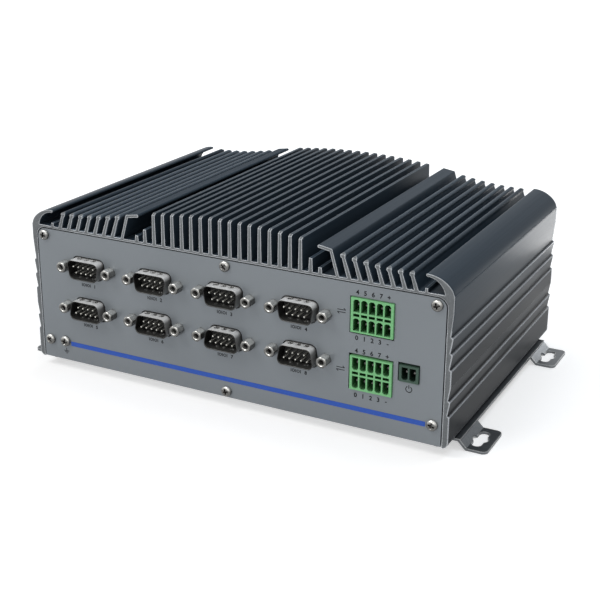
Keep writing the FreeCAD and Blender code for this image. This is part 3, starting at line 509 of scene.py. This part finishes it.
# Reach of the painted shade in the headers' cavities.
CAVITY_SHADE_DEPTH = 4.5 * MM
MATERIALS = {
    "anodised_housing": housing_material(),
    "panel_paint": panel_material(),
    "stripe_film": plastic_material("blue_print", (0.042, 0.108, 0.46), 0.45, specular=0.15),
    "plate_steel": sheet_material("satin_sheet", (0.070, 0.080, 0.090), (0.10, 0.11, 0.12),
                                  metallic=0.75, roughness=0.34),
    "cover_steel": sheet_material("zinc_sheet", (0.30, 0.31, 0.32), (0.38, 0.39, 0.40),
                                  metallic=0.9, roughness=0.38),
    "nickel_screw": metal_material("nickel", (0.93, 0.92, 0.88), 0.22, metallic=0.8),
    "nickel_shell": metal_material("tinned_shell", (0.99, 0.99, 0.985), 0.3, metallic=0.12,
                                   depth=4.0 * MM, start=0.32, end=0.6),
    "black_insulator": plastic_material("black_moulding", (0.013, 0.013, 0.013), 0.5),
    "gold_contact": metal_material("contact_plating", (0.95, 0.94, 0.86), 0.22, metallic=0.7),
    "green_header": plastic_material("green_moulding", (0.20, 0.51, 0.225), 0.45, depth=CAVITY_SHADE_DEPTH),
    "dark_header": plastic_material("dark_green_moulding", (0.045, 0.085, 0.062), 0.45, depth=CAVITY_SHADE_DEPTH),
    "green_board": plastic_material("board_green", (0.015, 0.10, 0.04), 0.4),
    "black_part": plastic_material("black_part", (0.016, 0.016, 0.018), 0.5),
    "silicon": metal_material("silicon_die", (0.20, 0.21, 0.24), 0.1),
    "grey_pad": plastic_material("thermal_pad", (0.30, 0.32, 0.36), 0.8),
    "bare_aluminium": metal_material("milled_aluminium", (0.62, 0.63, 0.64), 0.34),
    "can_aluminium": metal_material("can_aluminium", (0.66, 0.66, 0.67), 0.26),
    "cell_steel": metal_material("cell_steel", (0.66, 0.66, 0.63), 0.2),
}
# Dark metal for the inside and rim of the port shells: painted shade.
SHELL_INSIDE_SHADE = metal_material("shell_inside_shade", (0.13, 0.13, 0.125), 0.3, metallic=0.6)
INK = plastic_material("dark_ink", (0.014, 0.014, 0.016), 0.6, specular=0.1)


def dress_nodes():
    """Gives each CAD node the material of its record slot."""
    for part in frame["record"]["subparts"]:
        node = frame["nodes"][part["node"]]
        node.data.materials.clear()
        node.data.materials.append(MATERIALS[part["material_slot"]])


# ---- mesh helpers -----------------------------------------------------------------------
ORIGIN = Vector((0.0, 0.0, 0.0))


def add_object(name, data):
    """Object in the scene for a mesh, camera, lamp or text."""
    item = bpy.data.objects.new(name, data)
    bpy.context.scene.collection.objects.link(item)
    return item


def bare_mesh(name, work):
    """Mesh of a bmesh as it is."""
    mesh = bpy.data.meshes.new(name)
    work.to_mesh(mesh)
    work.free()
    return mesh


def solid_mesh(name, work):
    """Mesh of closed forms with their normals outwards."""
    bmesh.ops.recalc_face_normals(work, faces=work.faces)
    return bare_mesh(name, work)


def add_piece(name, work, slot, *nodes):
    """Makes a piece that rides on the root, in a slot's material, and stands for CAD nodes."""
    mesh = solid_mesh(name, work)
    mesh.materials.append(MATERIALS[slot])
    for polygon in mesh.polygons:
        polygon.use_smooth = True
    mesh.set_sharp_from_angle(angle=math.radians(40.0))
    piece = add_object(name, mesh)
    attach(piece, "root")
    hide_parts(*nodes)
    return piece


def islands(node):
    """(lowest, highest) corner of each separate solid of a CAD node."""
    work = bmesh.new()
    work.from_mesh(frame["nodes"][node].data)
    bmesh.ops.remove_doubles(work, verts=work.verts, dist=1e-6)
    seen = set()
    boxes = []
    for start in work.verts:
        if start in seen:
            continue
        seen.add(start)
        stack = [start]
        low = start.co.copy()
        high = start.co.copy()
        while stack:
            vert = stack.pop()
            for axis in range(3):
                low[axis] = min(low[axis], vert.co[axis])
                high[axis] = max(high[axis], vert.co[axis])
            for edge in vert.link_edges:
                other = edge.other_vert(vert)
                if other not in seen:
                    seen.add(other)
                    stack.append(other)
        boxes.append((low, high))
    work.free()
    return boxes


def skin(work, rings, looped=False):
    """Joins rings of points into a tube, capped at both ends or looped back to its start."""
    loops = [[work.verts.new(point) for point in ring] for ring in rings]
    count = len(loops[0])
    following = loops[1:] + loops[:1] if looped else loops[1:]
    for first, second in zip(loops, following):
        for i in range(count):
            j = (i + 1) % count
            work.faces.new((first[i], first[j], second[j], second[i]))
    if not looped:
        work.faces.new(list(reversed(loops[0])))
        work.faces.new(loops[-1])


def circle_points(centre, y, radius, count):
    """Ring in the XZ plane at a depth y."""
    points = []
    for i in range(count):
        angle = 2.0 * math.pi * i / count
        x = centre.x + radius * math.cos(angle)
        z = centre.z + radius * math.sin(angle)
        points.append(Vector((x, y, z)))
    return points


def hexagon_points(y, flat, limit, count):
    """Hexagon in the XZ plane at a depth y, its corners cut off by a circle."""
    points = []
    for i in range(count):
        angle = 2.0 * math.pi * i / count
        wedge = angle % (math.pi / 3.0) - math.pi / 6.0
        radius = min(flat / math.cos(wedge), limit)
        points.append(Vector((radius * math.cos(angle), y, radius * math.sin(angle))))
    return points


def copies(name, mesh, places, slot, *nodes):
    """One piece made of a mesh repeated at each place."""
    work = bmesh.new()
    for place in places:
        start = len(work.verts)
        work.from_mesh(mesh)
        work.verts.ensure_lookup_table()
        bmesh.ops.transform(work, matrix=place, verts=work.verts[start:])
    add_piece(name, work, slot, *nodes)


# ---- serial ports -----------------------------------------------------------------------
def d_outline(upright):
    """Rounded D outline of a shell about the origin, with its long side up or down."""
    lean = SHELL_HEIGHT * math.tan(SHELL_SLOPE)
    long_half = SHELL_WIDTH / 2.0
    short_half = long_half - lean
    top = SHELL_HEIGHT / 2.0 if upright else -SHELL_HEIGHT / 2.0
    corners = [(-short_half, -top), (short_half, -top), (long_half, top), (-long_half, top)]
    points = []
    for i, corner in enumerate(corners):
        here = Vector(corner)
        before = (Vector(corners[i - 1]) - here).normalized()
        after = (Vector(corners[(i + 1) % 4]) - here).normalized()
        half_angle = before.angle(after) / 2.0
        centre = here + (before + after).normalized() * SHELL_CORNER / math.sin(half_angle)
        start = here + before * SHELL_CORNER / math.tan(half_angle) - centre
        end = here + after * SHELL_CORNER / math.tan(half_angle) - centre
        for step in range(CORNER_STEPS + 1):
            spoke = start.lerp(end, step / CORNER_STEPS).normalized() * SHELL_CORNER
            points.append(centre + spoke)
    return points


def resample(points, spacing):
    """Adds points on the long straight runs of a closed outline."""
    result = []
    for i, point in enumerate(points):
        following = points[(i + 1) % len(points)]
        count = max(1, round((following - point).length / spacing))
        for step in range(count):
            result.append(point.lerp(following, step / count))
    return result


def dimple(x, y, centre_y):
    """How far a shell's wall is pressed in at a point of its long or short side."""
    depth = 0.0
    for i in (-1, 0, 1):
        distance = math.hypot(x - i * DIMPLE_PITCH, y - centre_y)
        if distance < DIMPLE_RADIUS:
            share = math.cos(distance / DIMPLE_RADIUS * math.pi / 2.0) ** DIMPLE_POWER
            depth = max(depth, DIMPLE_DEPTH * share)
    return depth


def shell_ring(outline, centre, y, inset, dimple_y):
    """Ring of a shell at a depth, pressed in where a dimple is."""
    scale_x = 1.0 - 2.0 * inset / SHELL_WIDTH
    scale_z = 1.0 - 2.0 * inset / SHELL_HEIGHT
    ring = []
    for point in outline:
        press = dimple(point.x, y, dimple_y) if abs(point.y) > LONG_SIDE else 0.0
        z = point.y * scale_z - math.copysign(press, point.y)
        ring.append(Vector((centre.x + point.x * scale_x, y, centre.z + z)))
    return ring


def darken_inside(mesh, centre, root):
    """Gives a shell's inner faces and its rim a darker copy of the metal, as painted shade."""
    mesh.materials.append(SHELL_INSIDE_SHADE)
    for polygon in mesh.polygons:
        inwards = (centre - polygon.center) * Vector((1.0, 0.0, 1.0))
        before_root = polygon.center.y < root - 0.01 * MM
        looks_in = polygon.normal.dot(inwards) > 0.0
        looks_out_of_port = polygon.normal.y < -0.4
        if before_root and (looks_in or looks_out_of_port):
            polygon.material_index = 1


def port_shell(number):
    """Drawn D shell with a rolled lip and three pressed dimples on each long side."""
    node = "serial_shell_%d" % number
    low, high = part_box(node)
    centre = (low + high) / 2.0
    outline = resample(d_outline(number in UPPER_PORTS), OUTLINE_STEP)
    tip = low.y
    root = PANEL_FACE + SHEET
    lip = SHELL_WALL / 2.0
    dimple_y = tip + (root - tip) * DIMPLE_PLACE
    rings = []
    for i in range(WALL_STEPS + 1):
        y = root + (tip + lip - root) * i / WALL_STEPS
        rings.append(shell_ring(outline, centre, y, 0.0, dimple_y))
    for i in range(1, LIP_STEPS):
        angle = math.pi * i / LIP_STEPS
        y = tip + lip - lip * math.sin(angle)
        rings.append(shell_ring(outline, centre, y, lip - lip * math.cos(angle), dimple_y))
    for i in range(WALL_STEPS + 1):
        y = tip + lip + (root - tip - lip) * i / WALL_STEPS
        rings.append(shell_ring(outline, centre, y, SHELL_WALL, dimple_y))
    work = bmesh.new()
    skin(work, rings, looped=True)
    corners = ((low.x, low.z), (high.x, low.z), (high.x, high.z), (low.x, high.z))
    flange = [Vector((x, root, z)) for x, z in corners]
    back = [Vector((x, high.y, z)) for x, z in corners]
    skin(work, [flange, back])
    piece = add_piece("port_shell_%d" % number, work, "nickel_shell", node)
    darken_inside(piece.data, centre, root)


def port_pins():
    """Contacts with rounded tips in place of the plain ones."""
    work = bmesh.new()
    for low, high in islands("serial_pins"):
        centre = (low + high) / 2.0
        rings = []
        for i in range(1, PIN_TIP_STEPS + 1):
            angle = math.pi / 2.0 * i / PIN_TIP_STEPS
            y = low.y + PIN_TIP * (1.0 - math.cos(angle))
            rings.append(circle_points(centre, y, PIN_RADIUS * math.sin(angle), PIN_SIDES))
        rings.append(circle_points(centre, high.y, PIN_RADIUS, PIN_SIDES))
        skin(work, rings)
    add_piece("port_contacts", work, "gold_contact", "serial_pins")


def lock_mesh(length, stud):
    """Hexagonal screw lock: its threaded mouth at the origin, its seat at +Y."""
    flat = LOCK_FLATS / 2.0
    rings = [circle_points(ORIGIN, length + stud, LOCK_HOLE, LOCK_SIDES),
             circle_points(ORIGIN, length, LOCK_HOLE, LOCK_SIDES)]
    # Depth, and the circle that cuts the hexagon's corners there as a share of half its flats.
    body = ((length, 1.06), (length - 0.25 * MM, 1.2), (0.85 * MM, 1.2), (0.5 * MM, 1.08),
            (0.15 * MM, 0.99), (0.0, 0.9))
    for y, share in body:
        rings.append(hexagon_points(y, flat, flat * share, LOCK_SIDES))
    rings.append(circle_points(ORIGIN, 0.0, LOCK_HOLE * 1.22, LOCK_SIDES))
    rings.append(circle_points(ORIGIN, 0.25 * MM, LOCK_HOLE, LOCK_SIDES))
    turns = int((length - LOCK_THREAD_START - LOCK_FLOOR) / LOCK_THREAD_PITCH)
    for i in range(turns):
        y = LOCK_THREAD_START + LOCK_THREAD_PITCH * i
        rings.append(circle_points(ORIGIN, y + LOCK_THREAD_PITCH * 0.25, LOCK_HOLE, LOCK_SIDES))
        rings.append(circle_points(ORIGIN, y + LOCK_THREAD_PITCH * 0.75, LOCK_THREAD_CREST, LOCK_SIDES))
    work = bmesh.new()
    skin(work, rings)
    return bare_mesh("screw_lock", work)


def screw_locks():
    """Screw locks beside the ports, each turned further than the one before."""
    boxes = islands("serial_jackscrews")
    low, high = boxes[0]
    mesh = lock_mesh(PANEL_FACE - low.y, high.y - PANEL_FACE)
    places = []
    for i, (low, high) in enumerate(boxes):
        spot = (low + high) / 2.0
        spot.y = low.y
        places.append(Matrix.Translation(spot) @ Matrix.Rotation(LOCK_TURN * i, 4, "Y"))
    copies("screw_locks", mesh, places, "nickel_screw", "serial_jackscrews")


# ---- screws -----------------------------------------------------------------------------
def boolean_cut(mesh, tools, name):
    """Mesh less each tool, by the exact boolean."""
    body = add_object(name, mesh)
    cutters = []
    for tool in tools:
        cutter = add_object(name + "_tool", tool)
        modifier = body.modifiers.new("cut", "BOOLEAN")
        modifier.operation = "DIFFERENCE"
        modifier.solver = "EXACT"
        modifier.object = cutter
        cutters.append(cutter)
    bpy.context.view_layer.update()
    graph = bpy.context.evaluated_depsgraph_get()
    result = bpy.data.meshes.new_from_object(body.evaluated_get(graph))
    for item in [body] + cutters:
        bpy.data.objects.remove(item)
    return result


def recess_tools(radius, crown, floor):
    """Two tapered blades that cut a screwdriver's cross, wide at the crown's level."""
    levels = ((crown, radius * 0.66, radius * 0.18), (floor, radius * 0.28, radius * 0.105))
    meshes = []
    for turn in (0.0, math.pi / 2.0):
        rings = []
        for y, reach, width in levels:
            corners = ((-reach, -width), (reach, -width), (reach, width), (-reach, width))
            ring = []
            for along_blade, across_blade in corners:
                x = along_blade * math.cos(turn) - across_blade * math.sin(turn)
                z = along_blade * math.sin(turn) + across_blade * math.cos(turn)
                ring.append(Vector((x, y, z)))
            rings.append(ring)
        work = bmesh.new()
        skin(work, rings)
        meshes.append(solid_mesh("blade", work))
    return meshes


def screw_mesh(radius, height, length):
    """Pan head with a cross recess, its crown towards -Y and its seat at the origin.

    The cut is made in millimetres, because the boolean's limits are for larger things.
    """
    radius, height, length = (value / MM for value in (radius, height, length))
    profile = [(length, radius * SHANK), (0.0, radius * SHANK), (0.0, radius * 0.96),
               (-height * HEAD_RIM_START, radius), (-height * HEAD_RIM_END, radius)]
    for i in range(1, HEAD_CROWN_STEPS):
        angle = math.pi / 2.0 * i / HEAD_CROWN_STEPS
        level = HEAD_RIM_END + (1.0 - HEAD_RIM_END) * math.sin(angle)
        share = HEAD_CROWN + (1.0 - HEAD_CROWN) * math.cos(angle)
        profile.append((-height * level, radius * share))
    profile.append((-height, radius * 0.3))
    work = bmesh.new()
    skin(work, [circle_points(ORIGIN, y, reach, SCREW_SIDES) for y, reach in profile])
    head = solid_mesh("screw", work)
    mesh = boolean_cut(head, recess_tools(radius, -height * 1.1, -height * 0.25), "screw_cut")
    mesh.transform(Matrix.Diagonal((MM, MM, MM, 1.0)))
    return mesh


# Turns that point a screw's crown at the front, the rear or the floor.
AIMS = {"front": Matrix.Identity(4), "rear": Matrix.Rotation(math.pi, 4, "Z"),
        "down": Matrix.Rotation(math.radians(90.0), 4, "X")}


def screws(name, node, aim, seat):
    """Replaces a node's plain screws; seat is the level of their heads' undersides."""
    boxes = islands(node)
    axis = 2 if aim == "down" else 1
    before = [seat - low[axis] for low, high in boxes]
    behind = [high[axis] - seat for low, high in boxes]
    heads, shanks = (behind, before) if aim == "rear" else (before, behind)
    low, high = boxes[0]
    mesh = screw_mesh((high.x - low.x) / 2.0, heads[0], min(shanks))
    places = []
    for i, (low, high) in enumerate(boxes):
        spot = (low + high) / 2.0
        spot[axis] = seat
        spin = Matrix.Rotation(SCREW_TURN * i + SCREW_FIRST_TURN, 4, "Y")
        places.append(Matrix.Translation(spot) @ AIMS[aim] @ spin)
    copies(name, mesh, places, "nickel_screw", node)


# ---- printed marks ----------------------------------------------------------------------
def ink_piece(name, work):
    """Piece of dark print that rides on the root."""
    mesh = bare_mesh(name, work)
    mesh.materials.append(INK)
    piece = add_object(name, mesh)
    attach(piece, "root")


def glyph(text, x, z, height):
    """Plain figure printed on the front panel, centred on a point."""
    curve = bpy.data.curves.new("glyph", "FONT")
    curve.body = text
    curve.size = height * FONT_SIZE
    curve.align_x = "CENTER"
    curve.extrude = PRINT_DEPTH / 2.0
    curve.offset = height * PRINT_WEIGHT
    holder = add_object("glyph", curve)
    graph = bpy.context.evaluated_depsgraph_get()
    mesh = bpy.data.meshes.new_from_object(holder.evaluated_get(graph))
    bpy.data.objects.remove(holder)
    place = Matrix.Translation((x, PANEL_FACE - PRINT_LIFT, z - height / 2.0))
    mesh.transform(place @ Matrix.Rotation(math.pi / 2.0, 4, "X"))
    return mesh


def stroke(work, x0, z0, x1, z1, width=LINE):
    """Flat printed line between two points of the front panel."""
    along = Vector((x1 - x0, 0.0, z1 - z0)).normalized()
    side = Vector((-along.z, 0.0, along.x)) * width / 2.0
    start = Vector((x0, PANEL_FACE - PRINT_LIFT, z0))
    end = Vector((x1, PANEL_FACE - PRINT_LIFT, z1))
    lift = Vector((0.0, PRINT_DEPTH / 2.0, 0.0))
    ring = [start - side, end - side, end + side, start + side]
    skin(work, [[point - lift for point in ring], [point + lift for point in ring]])


def arc(work, x, z, radius, start, end, width=LINE):
    """Printed arc between two angles in degrees."""
    for i in range(ARC_STEPS):
        first = math.radians(start + (end - start) * i / ARC_STEPS)
        second = math.radians(start + (end - start) * (i + 1) / ARC_STEPS)
        stroke(work, x + radius * math.cos(first), z + radius * math.sin(first),
               x + radius * math.cos(second), z + radius * math.sin(second), width)


def port_marks():
    """A line-and-ring mark and a plain number under each serial port."""
    size = 1.5 * MM
    pitch = 2.3 * MM
    work = bmesh.new()
    for number in PORTS:
        low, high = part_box("serial_shell_%d" % number)
        x = (low.x + high.x) / 2.0
        z = (low.z + high.z) / 2.0 - 8.4 * MM
        for i in range(3):
            bar = x - 4.1 * MM + i * pitch
            stroke(work, bar, z - size / 2.0, bar, z + size / 2.0)
        for i in range(2):
            arc(work, x - 2.95 * MM + i * pitch, z, size * 0.4, 0.0, 360.0)
        work.from_mesh(glyph(str(number), x + 3.0 * MM, z, size * 1.1))
    ink_piece("port_marks", work)


def header_marks():
    """Plain figures over and under each ten-pole header, and two arrows beside it."""
    arrow_half = 1.9 * MM
    barb_x = 0.9 * MM
    barb_z = 0.8 * MM
    work = bmesh.new()
    for number in (1, 2):
        low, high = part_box("signal_header_%d" % number)
        middle = (low + high) / 2.0
        for figures, z in (("4567+", high.z + 2.3 * MM), ("0123-", low.z - 2.6 * MM)):
            for i, figure in enumerate(figures):
                x = middle.x + (i - (HEADER_POLES - 1) / 2.0) * POLE_PITCH
                work.from_mesh(glyph(figure, x, z, 2.0 * MM))
        x = low.x - 4.6 * MM
        for side in (-1.0, 1.0):
            height = middle.z + 0.4 * MM + side * 0.55 * MM
            tip = x + side * arrow_half
            stroke(work, x - arrow_half, height, x + arrow_half, height)
            stroke(work, tip, height, tip - side * barb_x, height + side * barb_z)
    ink_piece("header_marks", work)


def remote_mark():
    """Ring and bar of a power switch under the two-pole header."""
    width = 0.35 * MM
    work = bmesh.new()
    low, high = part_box("remote_header")
    x = (low.x + high.x) / 2.0
    z = low.z - 3.3 * MM
    arc(work, x, z, 1.35 * MM, 120.0, 420.0, width)
    stroke(work, x, z + 0.3 * MM, x, z + 1.8 * MM, width)
    ink_piece("remote_mark", work)


def earth_mark():
    """Earth symbol under the ground screw."""
    stem = 1.5 * MM
    work = bmesh.new()
    low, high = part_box("ground_screw")
    x = (low.x + high.x) / 2.0
    z = low.z - 1.0 * MM
    stroke(work, x, z, x, z - stem)
    for i, half in enumerate((1.5 * MM, 1.0 * MM, 0.45 * MM)):
        level = z - stem - i * 0.62 * MM
        stroke(work, x - half, level, x + half, level)
    ink_piece("earth_mark", work)


# ---- camera, light and floor ------------------------------------------------------------
def camera():
    """Camera at the viewing angle of the picture, placed from the front panel's lower edge."""
    data = bpy.data.cameras.new("camera")
    data.lens = 71.71
    data.sensor_width = 36.0
    data.shift_x = 0.0115
    data.shift_y = -0.0566
    data.clip_start = 0.01
    item = add_object("camera", data)
    item.location = (0.25175, PANEL_FACE - 0.41916, PANEL_LOW.z + 0.23149)
    item.rotation_euler = (math.radians(70.887), math.radians(-0.234), math.radians(27.617))
    bpy.context.scene.camera = item


def area_light(name, place, target, size, power, colour=(1.0, 1.0, 1.0)):
    """Soft rectangular lamp that looks from a place at a target; power is in watts."""
    data = bpy.data.lights.new(name, "AREA")
    data.shape = "RECTANGLE"
    data.size, data.size_y = size
    data.energy = power
    data.color = colour
    item = add_object(name, data)
    item.location = place
    item.rotation_euler = (Vector(target) - Vector(place)).to_track_quat("-Z", "Y").to_euler()
    item.visible_camera = False


def lights():
    """Soft key, fill and cool top lamps, and a small one low behind the right wall."""
    body = (0.0, 0.0, 0.03)
    area_light("key", (-0.55, -0.75, 1.15), body, (0.7, 0.7), 7.0)
    area_light("front_fill", (0.35, -1.3, 0.45), body, (1.2, 0.8), 4.0)
    area_light("top", (0.15, 0.35, 1.1), (0.0, 0.05, 0.05), (0.9, 0.5), 4.5, (0.86, 0.93, 1.0))
    area_light("rim", (0.13, 0.16, 0.034), (0.093, 0.02, 0.055), (0.05, 0.036), 0.03)


def studio_white(tree):
    """1 for rays that see the backdrop or mirror it, 0 for those that light the object."""
    rays = tree.nodes.new("ShaderNodeLightPath").outputs
    value = rays["Is Camera Ray"]
    for name in ("Is Glossy Ray", "Is Transmission Ray"):
        value = calculate(tree, MATHS, "MAXIMUM", value, rays[name])
    return value


def world():
    """Plain world: white where it is seen or mirrored, dimmer as light."""
    data = bpy.data.worlds.new("studio")
    bpy.context.scene.world = data
    data.use_nodes = True
    tree = data.node_tree
    finish(tree, tree.nodes["Background"], {"Color": (1.0, 1.0, 1.0),
                                            "Strength": remap(tree, studio_white(tree), 0.3, 1.0)})


def floor():
    """White floor that keeps a soft shadow near the object and runs out of sight."""
    work = bmesh.new()
    bmesh.ops.create_grid(work, x_segments=8, y_segments=8, size=40.0)
    mesh = bare_mesh("floor", work)
    material, tree, shader = new_material("floor_white")
    away = calculate(tree, VECTOR_MATHS, "LENGTH", object_position(tree))
    glow = remap(tree, away, 0.5, 1.0, 0.25, 0.8)
    pale = shades(tree, noise(tree, 3.0, 2.0), (0.78, 0.78, 0.78), (0.80, 0.80, 0.80))
    finish(tree, shader, {"Base Color": pale,
                          "Roughness": 0.9,
                          "Specular IOR Level": 0.0,
                          "Emission Color": (1.0, 1.0, 1.0),
                          "Emission Strength": product(tree, glow, studio_white(tree))})
    mesh.materials.append(material)
    item = add_object("floor", mesh)


# ---- assembly ---------------------------------------------------------------------------
dress_nodes()
for port_number in PORTS:
    port_shell(port_number)
port_pins()
screw_locks()
screws("front_panel_screw_set", "front_panel_screws", "front", PANEL_FACE)
screws("ground_screw_head", "ground_screw", "front", PANEL_FACE)
screws("rear_panel_screw_set", "rear_panel_screws", "rear", REAR_FACE)
screws("cover_screw_set", "cover_screws", "down", PLATE_TOP)
screws("plate_screw_set", "mounting_plate_screws", "down", PLATE_TOP - SHEET)
port_marks()
header_marks()
remote_mark()
earth_mark()
camera()
lights()
world()
floor()
bpy.context.scene.view_settings.view_transform = "Standard"
